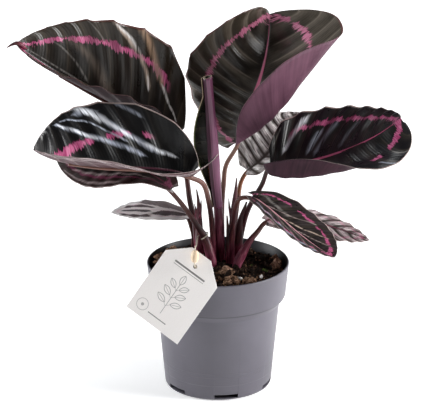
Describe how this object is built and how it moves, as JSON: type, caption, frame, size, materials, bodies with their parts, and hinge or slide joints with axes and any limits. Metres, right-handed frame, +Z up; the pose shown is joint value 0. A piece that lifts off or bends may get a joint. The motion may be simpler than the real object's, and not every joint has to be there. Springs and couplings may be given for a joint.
{
  "type": "potted calathea",
  "caption": "Rose painted calathea with broad patterned leaves, in a round nursery pot of soil, with a paper tag tied on.",
  "frame": {"origin": "centre of the pot's base, on the surface it stands on", "axes": "+Z up along the pot's axis; -Y is the front, where the tag hangs; +X is to the right seen from the front"},
  "size_m": [0.3319, 0.1588, 0.3134],
  "materials": {
    "pot": "satin",
    "soil": "matte",
    "leaf": "satin",
    "underside": "satin",
    "shoot": "satin",
    "card": "matte",
    "bead": "satin",
    "string": "matte"
  },
  "bodies": {
    "root": {"pot": "pot", "soil": "soil", "leaf_upper_left": "leaf", "leaf_middle_left": "leaf", "leaf_lower_left": "leaf", "leaf_small_left": "leaf", "leaf_tall": "leaf", "leaf_back": "leaf", "leaf_right": "leaf", "leaf_lower_right": "leaf", "leaf_small_right": "leaf", "leaf_rolled": "underside", "shoot_left": "shoot", "shoot_centre": "shoot", "tag_card": "card", "tag_bead": "bead", "tag_knot": "string", "tag_string": "string"}
  },
  "joints": []
}
